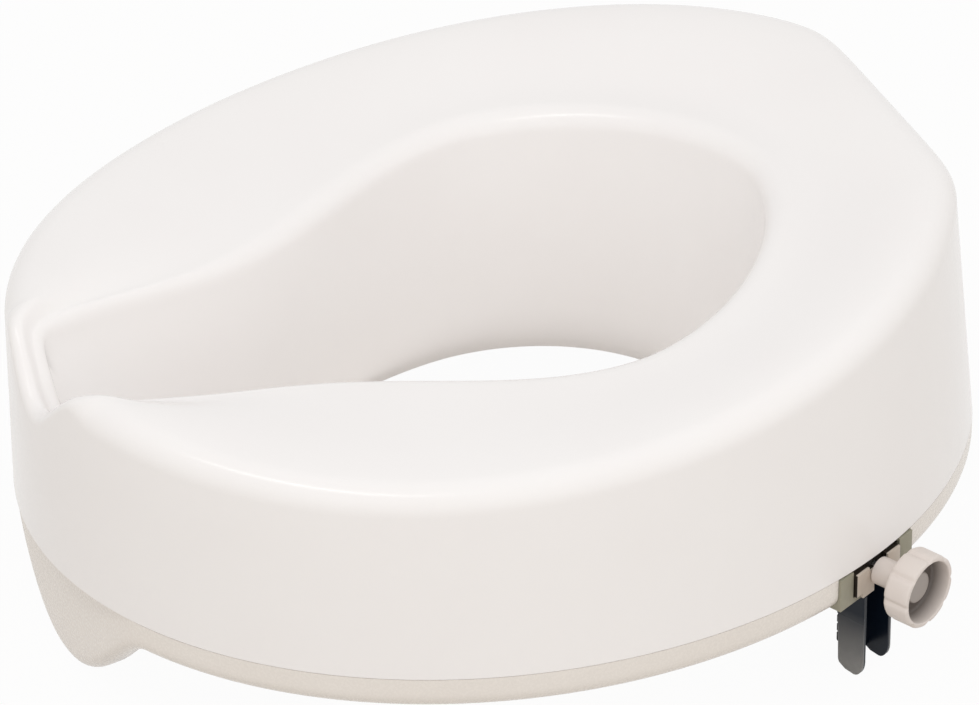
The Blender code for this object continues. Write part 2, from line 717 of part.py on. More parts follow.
def clamp_arm(side_name, frame, screw_holes):
    bm = bmesh.new()
    low, high = FOOT - ARM_SHEET, BASE + ARM_SHEET
    add_prism(bm, [(x, y, low) for x, y in arm_plan()], (0, 0, high - low))
    arm = make("clamp_arm_" + side_name, bm, ARM_STEEL, frame)
    bm = bmesh.new()
    add_prism(bm, [(x, -ARM_WIDTH, z) for x, z in arm_side()], (0, 2 * ARM_WIDTH, 0))
    boolean(arm, cutter("arm_outline_" + side_name, bm, frame), "INTERSECT")
    boolean(arm, screw_holes, "DIFFERENCE")

    bm = bmesh.new()
    low = FOOT + GRIP_RISE
    half = GRIP_WIDTH / 2
    add_box(bm, (ARM_BACK - FIT_GAP - GRIP_THICK, -half, low), (ARM_BACK - FIT_GAP, half, low + GRIP_HEIGHT))
    face = [edge for edge in bm.edges if all(v.co.x < ARM_BACK - GRIP_THICK for v in edge.verts)]
    bmesh.ops.bevel(bm, geom=face, offset=GRIP_EDGE, segments=2, profile=0.5, affect="EDGES")
    make("grip_pad_" + side_name, bm, RUBBER, frame)


def spindle(side_name, frame):
    washer_front = PLATE_BACK - FIT_GAP
    clip_front = washer_front - WASHER_THICK - FIT_GAP
    clip_back = clip_front - CLIP_THICK
    waist = SPINDLE_RADIUS - CLIP_GROOVE_DEPTH
    outer_end = KNOB_STANDOFF + KNOB_DEPTH - KNOB_SOCKET - FIT_GAP
    groove_front, groove_back = clip_front + FIT_GAP, clip_back - FIT_GAP
    profile = [(outer_end, 0), (outer_end, SPINDLE_RADIUS), (groove_front, SPINDLE_RADIUS),
               (groove_front, waist), (groove_back, waist), (groove_back, SPINDLE_RADIUS),
               (SPINDLE_END + SPINDLE_TIP, SPINDLE_RADIUS), (SPINDLE_END, SPINDLE_RADIUS - SPINDLE_TIP),
               (SPINDLE_END, 0)]
    make("spindle_" + side_name, turned(profile), ZINC, frame)

    washer_back = washer_front - WASHER_THICK
    profile = [(washer_front, RUN), (washer_front, WASHER_RADIUS), (washer_back, WASHER_RADIUS),
               (washer_back, RUN), (washer_front, RUN)]
    make("thrust_washer_" + side_name, turned(profile), ZINC, frame)

    inner = waist + FIT_GAP
    profile = [(clip_front, inner), (clip_front, CLIP_RADIUS), (clip_back, CLIP_RADIUS), (clip_back, inner)]
    make("spindle_clip_" + side_name, turned(profile, 2 * math.pi - CLIP_OPENING), ZINC, frame)


# Knob with lobes on its rim, a dished face with a hub, and a neck bored for the spindle
def clamp_knob(side_name, frame):
    back, face = KNOB_STANDOFF, KNOB_STANDOFF + KNOB_DEPTH
    neck_end = SLIDER_FRONT + FIT_GAP
    socket = face - KNOB_SOCKET
    cup, hub = face - KNOB_CUP, face - KNOB_CUP + KNOB_HUB_HEIGHT
    brim = KNOB_RADIUS - KNOB_WALL
    profile = [(socket, RUN, 0), (neck_end, RUN, 0), (neck_end, NECK_RADIUS, 0), (back, NECK_RADIUS, 0),
               (back, KNOB_RADIUS - 2 * KNOB_EDGE, 0), (back + KNOB_EDGE, KNOB_RADIUS, 1),
               (face - KNOB_EDGE, KNOB_RADIUS, 1), (face, KNOB_RADIUS - KNOB_EDGE, 0),
               (face, brim, 0), (cup, brim - KNOB_EDGE, 0), (cup, KNOB_HUB_RADIUS, 0),
               (hub, KNOB_HUB_RADIUS - KNOB_HUB_TAPER, 0)]
    lobe = 2 * math.pi / KNOB_LOBES
    turns = (0, KNOB_GROOVE_ANGLE, lobe / 2, lobe - KNOB_GROOVE_ANGLE)
    rows = []
    for along, radius, groove in profile:
        row = []
        for i in range(KNOB_LOBES):
            for turn in turns:
                depth = KNOB_GROOVE * groove if turn == 0 else 0
                angle = i * lobe + turn
                row.append((along, (radius - depth) * math.cos(angle), (radius - depth) * math.sin(angle)))
        rows.append(row)
    make("clamp_knob_" + side_name, loft(rows, cap_ends=True), KNOB_GREY, frame)


for side_name, side in (("left", 1), ("right", -1)):
    clamp = clamp_frame(side_name, side)
    clamp_guide(side_name, clamp)
    spindle_nut(side_name, clamp)
    arm_screw_holes = clamp_slider(side_name, clamp)
    clamp_arm(side_name, clamp, arm_screw_holes)
    spindle(side_name, clamp)
    clamp_knob(side_name, clamp)
    for end_name, end in (("front", -side), ("rear", side)):
        screw("guide_screw_" + end_name + "_" + side_name, clamp, EAR_MIDDLE, end * EAR_SCREW,
              EAR_TOP - EAR_THICK, EAR_THICK + SCREW_GRIP)
        screw("arm_screw_" + end_name + "_" + side_name, clamp, ARM_SCREW_X, end * ARM_SCREW_SPREAD / 2,
              ARM_TOP - ARM_SHEET, SCREW_GRIP)
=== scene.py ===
import json
import math

import bmesh
import bpy
from mathutils import Matrix, Vector

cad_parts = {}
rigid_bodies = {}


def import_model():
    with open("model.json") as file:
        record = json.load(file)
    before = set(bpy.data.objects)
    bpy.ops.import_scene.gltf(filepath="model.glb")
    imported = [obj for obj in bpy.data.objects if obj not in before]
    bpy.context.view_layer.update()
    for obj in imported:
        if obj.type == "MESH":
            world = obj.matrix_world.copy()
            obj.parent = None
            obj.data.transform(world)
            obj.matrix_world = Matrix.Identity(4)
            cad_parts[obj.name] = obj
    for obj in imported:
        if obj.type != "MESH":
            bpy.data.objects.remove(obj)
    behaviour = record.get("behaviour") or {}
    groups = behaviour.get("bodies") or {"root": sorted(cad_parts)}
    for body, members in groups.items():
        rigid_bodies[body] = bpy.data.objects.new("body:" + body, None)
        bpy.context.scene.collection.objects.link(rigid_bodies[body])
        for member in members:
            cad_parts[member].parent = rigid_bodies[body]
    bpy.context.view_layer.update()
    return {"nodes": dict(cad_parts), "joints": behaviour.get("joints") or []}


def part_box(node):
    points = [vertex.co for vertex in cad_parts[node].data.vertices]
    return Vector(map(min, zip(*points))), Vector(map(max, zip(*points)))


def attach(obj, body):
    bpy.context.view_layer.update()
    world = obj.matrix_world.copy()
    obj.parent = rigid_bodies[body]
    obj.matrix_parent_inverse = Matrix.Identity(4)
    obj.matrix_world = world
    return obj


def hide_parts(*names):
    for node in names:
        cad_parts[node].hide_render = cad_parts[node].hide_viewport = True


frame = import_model()
nodes = frame["nodes"]
scene = bpy.context.scene
scene.view_settings.view_transform = "Standard"

# each clamp has its own axes, taken from its hinge: X points out along the spindle, Z is up
sides = {}
for joint in frame["joints"]:
    if joint["type"] == "hinge":
        out = Vector(joint["axis"]).normalized()
        turn = Matrix((out, Vector((0, 0, 1)).cross(out), (0, 0, 1))).transposed().to_4x4()
        sides[joint["child"].split("_")[1]] = Matrix.Translation(joint["pos_m"]) @ turn
print("frame:", len(nodes), "nodes,", len(sides), "clamps")


def linearColour(hexCode):
    channels = [int(hexCode[i:i + 2], 16) / 255 for i in (1, 3, 5)]
    return [c / 12.92 if c <= 0.04045 else ((c + 0.055) / 1.055) ** 2.4 for c in channels] + [1]


def addNode(tree, kind, inputs=None, **settings):
    made = tree.nodes.new(kind)
    for key, value in settings.items():
        setattr(made, key, value)
    for key, value in (inputs or {}).items():
        if isinstance(value, bpy.types.NodeSocket):
            tree.links.new(value, made.inputs[key])
        else:
            made.inputs[key].default_value = value
    return made


def startMaterial(name):
    material = bpy.data.materials.new(name)
    material.use_nodes = True
    tree = material.node_tree
    shader = tree.nodes["Principled BSDF"]
    place = addNode(tree, "ShaderNodeTexCoord").outputs["Object"]
    return material, tree, shader, place


# x, y and z of a point counted from a clamp's own axes
def clampAxes(tree, place, side):
    home = sides[side].inverted()
    local = addNode(tree, "ShaderNodeMapping", {
        "Vector": place, "Location": home.translation, "Rotation": home.to_euler()})
    return local.outputs["Vector"]


noiseSpan = (0.3, 0.7)  # most values of a noise texture lie in here


# colour drifts between two close tones, roughness and bump follow a finer grain
def satinPlastic(name, finish):
    material, tree, shader, place = startMaterial(name)
    shader.inputs["IOR"].default_value = finish["ior"]
    shader.inputs["Specular IOR Level"].default_value = finish["gloss"]
    drift = addNode(tree, "ShaderNodeTexNoise", {
        "Vector": place, "Scale": 1 / finish["blotch"], "Detail": 3.0})
    tint = addNode(tree, "ShaderNodeMix", {
        "Factor": drift.outputs["Fac"], "A": linearColour(finish["tones"][0]),
        "B": linearColour(finish["tones"][1])}, data_type="RGBA")
    grit = addNode(tree, "ShaderNodeTexNoise", {
        "Vector": place, "Scale": 1 / finish["grain"], "Detail": 2.0})
    sheen = addNode(tree, "ShaderNodeMapRange", {
        "Value": grit.outputs["Fac"], "From Min": noiseSpan[0], "From Max": noiseSpan[1],
        "To Min": finish["rough"][0], "To Max": finish["rough"][1]})
    bump = addNode(tree, "ShaderNodeBump", {
        "Height": grit.outputs["Fac"], "Strength": 0.25, "Distance": finish["dent"]})
    tree.links.new(tint.outputs["Result"], shader.inputs["Base Color"])
    tree.links.new(sheen.outputs["Result"], shader.inputs["Roughness"])
    tree.links.new(bump.outputs["Normal"], shader.inputs["Normal"])
    return material, tint.outputs["Result"]


# polypropylene moulded in a spark eroded tool: milky white, satin, with a faint orange peel
# its grain is about 0.2 mm, drawn at 1.2 mm so that it shows
whitePolypropylene, _ = satinPlastic("whitePolypropylene", {
    "tones": ("#FCF9F7", "#F9F5F3"), "blotch": 0.06, "grain": 0.0012, "rough": (0.17, 0.23),
    "dent": 0.00006, "ior": 1.49, "gloss": 0.35})

# the base is the same resin from a plainer tool and duller; its tones are a touch warmer and darker, which is
# painted shade
basePolypropylene, _ = satinPlastic("basePolypropylene", {
    "tones": ("#F3EDE6", "#EEE7DF"), "blotch": 0.05, "grain": 0.0012, "rough": (0.24, 0.30),
    "dent": 0.00006, "ior": 1.49, "gloss": 0.35})

# glass filled nylon of the guide: dull grey with a green cast
guideNylon, _ = satinPlastic("guideNylon", {
    "tones": ("#A6A290", "#989482"), "blotch": 0.012, "grain": 0.0008, "rough": (0.44, 0.56),
    "dent": 0.00006, "ior": 1.53, "gloss": 0.4})

# nitrile rubber: dull black, bloomed grey in patches
nitrileRubber, _ = satinPlastic("nitrileRubber", {
    "tones": ("#1D1D1E", "#2A2A2A"), "blotch": 0.006, "grain": 0.0006, "rough": (0.68, 0.82),
    "dent": 0.00008, "ior": 1.52, "gloss": 0.5})


# painted shade over a plastic's own tint, where the mask is 1
def paintShade(material, tint, mask, colour):
    tree = material.node_tree
    shadedTint = addNode(tree, "ShaderNodeMix", {
        "Factor": mask, "A": tint, "B": linearColour(colour)}, data_type="RGBA")
    tree.links.new(shadedTint.outputs["Result"], tree.nodes["Principled BSDF"].inputs["Base Color"])


# the last two lines give the dark tone, strength and edges of the painted shade in the cup
knob = {"neckEnd": 0.0013, "back": 0.0145, "face": 0.027, "radius": 0.016, "wall": 0.0023, "cup": 0.0085,
        "cupDraft": 0.0010, "hubRadius": 0.0074, "hubHeight": 0.0032, "hubDraft": 0.0006, "bore": 0.0028,
        "socket": 0.018, "neck": 0.006, "lobes": 8, "groove": 0.0011, "grooveAngle": math.radians(4.5),
        "columns": 24, "neckRound": 0.0005, "heelRound": 0.0012, "backRound": 0.0022, "faceRound": 0.0013,
        "brimRound": 0.0007, "cupRound": 0.0015, "hubFoot": 0.0006, "hubRound": 0.0008,
        "grimeTone": "#4A403A", "grime": 0.92, "cleanEdge": 0.0006, "grimeFade": (-0.0002, 0.0005),
        "floorSlack": 0.001}


# ABS of the knob: warm light grey, satin; painted shade darkens the cup towards its floor
def knobAbs(side):
    material, tint = satinPlastic("knobAbs" + side.title(), {
        "tones": ("#E8DED7", "#DED4CD"), "blotch": 0.015, "grain": 0.0007, "rough": (0.38, 0.50),
        "dent": 0.00005, "ior": 1.53, "gloss": 0.4})
    tree = material.node_tree
    local = clampAxes(tree, tree.nodes["Texture Coordinate"].outputs["Object"], side)
    along = addNode(tree, "ShaderNodeSeparateXYZ", {"Vector": local}).outputs["X"]
    floor, brim = knob["face"] - knob["cup"], knob["radius"] - knob["wall"]
    depth = addNode(tree, "ShaderNodeMapRange", {
        "Value": along, "From Min": floor, "From Max": knob["face"] - knob["cleanEdge"],
        "To Min": knob["grime"], "To Max": 0.0})
    radial = addNode(tree, "ShaderNodeVectorMath", {0: local, 1: (0, 1, 1)}, operation="MULTIPLY")
    radius = addNode(tree, "ShaderNodeVectorMath", {0: radial.outputs["Vector"]}, operation="LENGTH")
    inside = addNode(tree, "ShaderNodeMapRange", {
        "Value": radius.outputs["Value"], "From Min": brim + knob["grimeFade"][0],
        "From Max": brim + knob["grimeFade"][1], "To Min": 1.0, "To Max": 0.0})
    inCup = addNode(tree, "ShaderNodeMath", {0: along, 1: floor - knob["floorSlack"]},
                    operation="GREATER_THAN")
    cupOnly = addNode(tree, "ShaderNodeMath", {0: inside.outputs["Result"], 1: inCup.outputs[0]},
                      operation="MULTIPLY")
    grime = addNode(tree, "ShaderNodeMath", {0: depth.outputs["Result"], 1: cupOnly.outputs[0]},
                    operation="MULTIPLY")
    paintShade(material, tint, grime.outputs[0], knob["grimeTone"])
    return material


# the dark tone and the slacks below set the painted shade in the slits beside the plate and above it
# relief holds its half width, how far back it goes and the height it starts at
slider = {"half": 0.0152, "gap": 0.0006, "plate": 0.004, "front": 0.001, "relief": (0.0062, 0.0022, 0.0022),
          "ease": 0.0004, "grimeTone": "#2E2822", "slitSlack": 0.0002, "reliefSlack": 0.0006}


# acetal of the sliding block: warm grey, waxy; painted shade sits above its plate and in the slits beside it
def sliderAcetal(side):
    material, tint = satinPlastic("sliderAcetal" + side.title(), {
        "tones": ("#D6CABD", "#CBBFB1"), "blotch": 0.012, "grain": 0.0008, "rough": (0.36, 0.48),
        "dent": 0.00005, "ior": 1.48, "gloss": 0.4})
    tree = material.node_tree
    local = clampAxes(tree, tree.nodes["Texture Coordinate"].outputs["Object"], side)
    parts = addNode(tree, "ShaderNodeSeparateXYZ", {"Vector": local})
    spread = addNode(tree, "ShaderNodeMath", {0: parts.outputs["Y"]}, operation="ABSOLUTE")
    beside = addNode(tree, "ShaderNodeMath", {
        0: spread.outputs[0], 1: slider["half"] - slider["gap"] - slider["slitSlack"]},
        operation="GREATER_THAN")
    behind = addNode(tree, "ShaderNodeMath", {0: parts.outputs["X"], 1: 0.0}, operation="LESS_THAN")
    above = addNode(tree, "ShaderNodeMath", {
        0: parts.outputs["Z"], 1: slider["relief"][2] - slider["reliefSlack"]}, operation="GREATER_THAN")
    shaded = addNode(tree, "ShaderNodeMath", {0: behind.outputs[0], 1: above.outputs[0]},
                     operation="MULTIPLY")
    slits = addNode(tree, "ShaderNodeMath", {0: beside.outputs[0], 1: shaded.outputs[0]},
                    operation="MAXIMUM")
    plate = addNode(tree, "ShaderNodeMath", {
        0: parts.outputs["X"], 1: slider["front"] - slider["plate"]}, operation="GREATER_THAN")
    grime = addNode(tree, "ShaderNodeMath", {0: slits.outputs[0], 1: plate.outputs[0]}, operation="MULTIPLY")
    paintShade(material, tint, grime.outputs[0], slider["grimeTone"])
    return material


# the black's blue cast and the grey that rises from the foot are painted reflection
arm = {"back": -0.013, "half": 0.0095, "bend": 0.0026, "bendSteps": 6, "ease": 0.00035, "onFace": 0.0001,
       "worn": (-0.046, -0.019), "wornEdge": (0.0012, 0.0005), "patch": 0.008, "patchiness": (0.9, 1.05),
       "black": "#121A26", "rubbed": "#92918F", "rough": (0.24, 0.48), "peel": 0.0015, "dent": 0.00006,
       "gloss": 0.18}


# pressed steel under black stove enamel: glossy black whose blue cast is a painted reflection, with an orange
# peel of about 1.5 mm the outer faces turn grey towards the foot: a painted reflection of the floor
def blackEnamel(side):
    material, tree, shader, place = startMaterial("blackEnamel" + side.title())
    parts = addNode(tree, "ShaderNodeSeparateXYZ", {"Vector": clampAxes(tree, place, side)})
    height = addNode(tree, "ShaderNodeMapRange", {
        "Value": parts.outputs["Z"], "From Min": arm["worn"][0], "From Max": arm["worn"][1],
        "To Min": 1.0, "To Max": 0.0})
    spread = addNode(tree, "ShaderNodeMath", {0: parts.outputs["Y"]}, operation="ABSOLUTE")
    outside = addNode(tree, "ShaderNodeMapRange", {
        "Value": spread.outputs[0], "From Min": arm["half"] - arm["wornEdge"][0],
        "From Max": arm["half"] - arm["wornEdge"][1]})
    rubbed = addNode(tree, "ShaderNodeMath", {0: height.outputs["Result"], 1: outside.outputs["Result"]},
                     operation="MULTIPLY")
    drift = addNode(tree, "ShaderNodeTexNoise", {"Vector": place, "Scale": 1 / arm["patch"], "Detail": 4.0})
    patchy = addNode(tree, "ShaderNodeMapRange", {
        "Value": drift.outputs["Fac"], "From Min": noiseSpan[0], "From Max": noiseSpan[1],
        "To Min": arm["patchiness"][0], "To Max": arm["patchiness"][1]})
    reflectionShare = addNode(tree, "ShaderNodeMath", {0: rubbed.outputs[0], 1: patchy.outputs["Result"]},
                   operation="MULTIPLY", use_clamp=True)
    tint = addNode(tree, "ShaderNodeMix", {
        "Factor": reflectionShare.outputs[0], "A": linearColour(arm["black"]), "B": linearColour(arm["rubbed"])},
        data_type="RGBA")
    sheen = addNode(tree, "ShaderNodeMapRange", {
        "Value": reflectionShare.outputs[0], "To Min": arm["rough"][0], "To Max": arm["rough"][1]})
    peel = addNode(tree, "ShaderNodeTexNoise", {"Vector": place, "Scale": 1 / arm["peel"], "Detail": 1.0})
    bump = addNode(tree, "ShaderNodeBump", {
        "Height": peel.outputs["Fac"], "Strength": 0.2, "Distance": arm["dent"]})
    tree.links.new(tint.outputs["Result"], shader.inputs["Base Color"])
    tree.links.new(sheen.outputs["Result"], shader.inputs["Roughness"])
    tree.links.new(bump.outputs["Normal"], shader.inputs["Normal"])
    shader.inputs["Specular IOR Level"].default_value = arm["gloss"]
    return material


zinc = {"tones": ("#C9CACB", "#A9AAAA"), "patch": 0.003, "marks": 0.0003, "rough": (0.25, 0.42)}


# zinc plated steel: pale blue grey, with turning marks of about 0.3 mm
def zincSteel():
    material, tree, shader, place = startMaterial("zincSteel")
    drift = addNode(tree, "ShaderNodeTexNoise", {"Vector": place, "Scale": 1 / zinc["patch"], "Detail": 4.0})
    tint = addNode(tree, "ShaderNodeMix", {
        "Factor": drift.outputs["Fac"], "A": linearColour(zinc["tones"][0]),
        "B": linearColour(zinc["tones"][1])}, data_type="RGBA")
    marks = addNode(tree, "ShaderNodeTexNoise", {"Vector": place, "Scale": 1 / zinc["marks"], "Detail": 1.0})
    sheen = addNode(tree, "ShaderNodeMapRange", {
        "Value": marks.outputs["Fac"], "To Min": zinc["rough"][0], "To Max": zinc["rough"][1]})
    tree.links.new(tint.outputs["Result"], shader.inputs["Base Color"])
    tree.links.new(sheen.outputs["Result"], shader.inputs["Roughness"])
    shader.inputs["Metallic"].default_value = 1.0
    return material


zincPlate = zincSteel()
slotOf = {whitePolypropylene: "seat_white", basePolypropylene: "base_white", guideNylon: "guide_grey",
          zincPlate: "zinc", nitrileRubber: "rubber"}
knobFinish, sliderFinish, armFinish = {}, {}, {}
for side in sides:
    knobFinish[side] = knobAbs(side)
    sliderFinish[side] = sliderAcetal(side)
    armFinish[side] = blackEnamel(side)
    slotOf[knobFinish[side]] = slotOf[sliderFinish[side]] = "knob_grey"
    slotOf[armFinish[side]] = "arm_black"
print("finishes:", len(slotOf))

sharpAngle = math.radians(38)  # edges that turn more than this are shaded sharp


def addPiece(name, bm, material, body, *replaced):
    mesh = bpy.data.meshes.new(name)
    bm.to_mesh(mesh)
    bm.free()
    mesh.materials.append(material)
    mesh.shade_smooth()
    mesh.set_sharp_from_angle(angle=sharpAngle)
    piece = bpy.data.objects.new(name, mesh)
    scene.collection.objects.link(piece)
    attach(piece, body)
    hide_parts(*replaced)
    return piece


def applyModifiers(piece):
    shown = piece.evaluated_get(bpy.context.evaluated_depsgraph_get())
    mesh = bpy.data.meshes.new_from_object(shown)
    piece.modifiers.clear()
    piece.data = mesh


def easeEdges(piece, width, limit=40):
    edge = piece.modifiers.new("edge", "BEVEL")
    edge.width = width
    edge.segments = 2
    edge.limit_method = "ANGLE"
    edge.angle_limit = math.radians(limit)


# cuts boxes, given by their corners on a clamp's, a screw's or a pad's own axes, out of a piece
def cutBoxes(piece, place, *boxes):
    bm = bmesh.new()
    for low, high in boxes:
        low, high = Vector(low), Vector(high)
        size = Matrix.Diagonal(high - low).to_4x4()
        bmesh.ops.create_cube(bm, size=1, matrix=place @ Matrix.Translation((low + high) / 2) @ size)
    mesh = bpy.data.meshes.new("cut")
    bm.to_mesh(mesh)
    bm.free()
    block = bpy.data.objects.new("cut", mesh)
    scene.collection.objects.link(block)
    cut = piece.modifiers.new("cut", "BOOLEAN")
    cut.operation = "DIFFERENCE"
    cut.object = block
    applyModifiers(piece)
    bpy.data.objects.remove(block)


def smoothStep(value):
    value = min(max(value, 0), 1)
    return value * value * (3 - 2 * value)


# angles of a quarter turn
def arc(steps):
    return [math.pi / 2 * i / steps for i in range(steps + 1)]


# corners given as (first, second, radius), with an arc in place of each corner that has a radius
def filleted(corners, steps=4):
    points = []
    for i, (first, second, radius) in enumerate(corners):
        here = Vector((first, second))
        if radius == 0:
            points.append(here)
            continue
        before = (Vector(corners[i - 1][:2]) - here).normalized()
        after = (Vector(corners[(i + 1) % len(corners)][:2]) - here).normalized()
        half = before.angle(after) / 2
        centre = here + (before + after).normalized() * radius / math.sin(half)
        start, end = (here + ray * radius / math.tan(half) - centre for ray in (before, after))
        sweep = math.pi - 2 * half
        for k in range(steps + 1):
            share = sweep * k / steps
            spoke = (start * math.sin(sweep - share) + end * math.sin(share)) / math.sin(sweep)
            points.append(centre + spoke)
    return points


poleGap = 0.000001  # joins the points that a spin leaves on its axis
weld = {"gap": 0.00001, "flat": math.radians(2)}


# a profile of (along, radius) points spun round X, closed on itself for a ring
def spunProfile(points, columns, ring=False, angle=2 * math.pi):
    bm = bmesh.new()
    line = [bm.verts.new((along, 0, radius)) for along, radius in points]
    edges = [bm.edges.new(pair) for pair in zip(line, line[1:])]
    if ring:
        edges.append(bm.edges.new((line[-1], line[0])))
    whole = math.isclose(angle, 2 * math.pi)
    bmesh.ops.spin(bm, geom=line + edges, cent=(0, 0, 0), axis=(1, 0, 0), angle=angle, steps=columns,
                   use_merge=whole)
    bmesh.ops.remove_doubles(bm, verts=bm.verts, dist=poleGap)
    if not whole:
        bmesh.ops.holes_fill(bm, edges=[edge for edge in bm.edges if edge.is_boundary])
    bm.normal_update()
    bmesh.ops.recalc_face_normals(bm, faces=bm.faces)
    return bm


# a copy of a solid with its loose triangles merged and its flat faces joined again
def nodeCopy(node):
    bm = bmesh.new()
    bm.from_mesh(nodes[node].data)
    bmesh.ops.remove_doubles(bm, verts=bm.verts, dist=weld["gap"])
    bmesh.ops.dissolve_limit(bm, angle_limit=weld["flat"], verts=bm.verts, edges=bm.edges)
    return bm


seat = {"seam": 0.057, "widest": 0.0066, "width": 0.343, "front": 0.2056, "rear": 0.2066, "back": 0.1944,
        "draft": 0.0045, "frontLean": 0.002, "backLean": 0.0104, "backCorner": 70, "rimFront": 0.0955,
        "rimLow": 0.0885, "rimBack": 0.1204, "rimLowY": -0.105, "backPower": 1.7, "frontPower": 2,
        "rayY": 0.010, "outerRound": 0.012, "innerRound": 0.010, "roundShare": 0.33, "wall": 0.0035,
        "flange": 0.0055, "edge": 0.0005, "edgeLimit": 50, "endArc": math.radians(24), "endSteps": 40,
        "sideSteps": 110, "wallSteps": 4, "roundSteps": 9, "faceSteps": 14}
opening = {"width": 0.182, "middle": 0.022, "back": 0.118, "backPower": 1.72, "channel": 0.066,
           "flare": 0.027, "channelEnd": -0.128, "swell": 1.5, "corner": 12, "ridge": 0.0165, "dish": 0.006,
           "dishStart": -0.320, "dishRun": 0.280, "notchDip": 0.027, "notchWidth": 0.078}
hole = {"width": 0.156, "middle": 0.014, "back": 0.102, "front": 0.116, "backPower": 2.0, "frontPower": 1.7,
        "funnelPower": 1.15, "funnelSteps": 12, "collar": 0.0103}
tray = {"wall": 0.004, "band": 0.016, "bandRound": 0.008, "lap": 0.008, "lapGap": 0.0007, "seamGap": 0.00025,
        "holeGap": 0.0003, "lipDrop": 0.041, "lipWidth": 0.134, "lipStep": 0.011, "lipTaper": -0.002,
        "lipFlat": 0.006, "lipRound": 0.006, "lipHeel": 0.012, "sidePower": 2.3, "edgePower": 1.7,
        "kneePower": 1.3, "floorSteps": 6, "heelSteps": 8, "kneeSteps": 5, "bandSteps": 8, "frontSteps": 5}


# directions round the seat from the front, closer together at the notch and at the back
def seatColumns():
    end = [seat["endArc"] * i / seat["endSteps"] for i in range(seat["endSteps"])]
    span = math.pi - 2 * seat["endArc"]
    side = [seat["endArc"] + span * i / seat["sideSteps"] for i in range(seat["sideSteps"])]
    half = end + side + [math.pi - angle for angle in reversed(end + [seat["endArc"]])]
    return half[:-1] + [2 * math.pi - angle for angle in reversed(half[1:])]


def planPoint(angle, radius):
    return radius * math.sin(angle), seat["rayY"] - radius * math.cos(angle)


# z is counted from the seam
def seatPoint(angle, radius, z):
    x, y = planPoint(angle, radius)
    return Vector((x, y + seat["widest"], z + seat["seam"]))


search = {"farthest": 0.5, "halvings": 40}
tiny = 1e-6  # keeps a divisor off zero


# how far out a direction stays inside an outline, by halving
def reach(angle, inside):
    low, high = 0.0, search["farthest"]
    for _ in range(search["halvings"]):
        middle = (low + high) / 2
        if inside(*planPoint(angle, middle)):
            low = middle
        else:
            high = middle
    return low


# the lesser of two lengths, with a rounded change from one to the other
def softLeast(a, b, sharpness):
    return (a ** -sharpness + b ** -sharpness) ** (-1 / sharpness)


# outer wall, lift 0 at the seam and 1 at the rim
def wallReach(angle, lift):
    half = seat["width"] / 2 - seat["draft"] * lift
    front = seat["front"] + seat["frontLean"] * lift
    rear = seat["rear"] - seat["backLean"] * lift
    oval = reach(angle, lambda x, y: (x / half) ** 2 + (y / (front if y < 0 else rear)) ** 2 < 1)
    if math.cos(angle) >= 0:
        return oval
    flat = (seat["back"] - seat["backLean"] * lift - seat["rayY"]) / max(-math.cos(angle), tiny)
    return softLeast(oval, flat, seat["backCorner"])


def openingHalf(y):
    half = opening["width"] / 2
    if y >= opening["middle"]:
        share = (y - opening["middle"]) / (opening["back"] - opening["middle"])
        return half * max(1 - share ** opening["backPower"], 0) ** (1 / opening["backPower"])
    start = opening["ridge"] - seat["front"]
    along = (y - start) / (opening["middle"] - start)
    channel = opening["channel"] / 2 + opening["flare"] * max(along, 0)
    run = opening["middle"] - opening["channelEnd"]
    swell = smoothStep((y - opening["channelEnd"]) / run) ** opening["swell"]
    return channel + (half - channel) * swell


def openingReach(angle):
    side = reach(angle, lambda x, y: abs(x) < openingHalf(y))
    if math.cos(angle) <= 0:
        return side
    front = seat["front"] + seat["frontLean"] - opening["ridge"] + seat["rayY"]
    return softLeast(side, front / max(math.cos(angle), tiny), opening["corner"])


def holeReach(angle):
    def inHole(x, y):
        ahead = y < hole["middle"]
        run = hole["front"] + hole["middle"] if ahead else hole["back"] - hole["middle"]
        power = hole["frontPower"] if ahead else hole["backPower"]
        return abs(2 * x / hole["width"]) ** power + abs((y - hole["middle"]) / run) ** power < 1
    return reach(angle, inHole)


def rimHeight(y):
    if y > seat["rimLowY"]:
        share = (y - seat["rimLowY"]) / (seat["back"] - seat["rimLowY"])
        return seat["rimLow"] + (seat["rimBack"] - seat["rimLow"]) * share ** seat["backPower"]
    share = (seat["rimLowY"] - y) / (seat["front"] + seat["rimLowY"])
    return seat["rimLow"] + (seat["rimFront"] - seat["rimLow"]) * share ** seat["frontPower"]


def dishDepth(y):
    return opening["dish"] * smoothStep((y - opening["dishStart"]) / opening["dishRun"])


def notchDepth(x, y):
    return 0 if y > 0 else opening["notchDip"] * (1 - smoothStep(abs(2 * x) / opening["notchWidth"]))


# how much of the lip's drop there is at a place, 0 away from the front
def lipShare(angle):
    x, y = planPoint(angle, wallReach(angle, 0))
    across = abs(2 * x) / tray["lipWidth"]
    return 0 if y > 0 or across >= 1 else (1 - across ** tray["sidePower"]) ** tray["edgePower"]


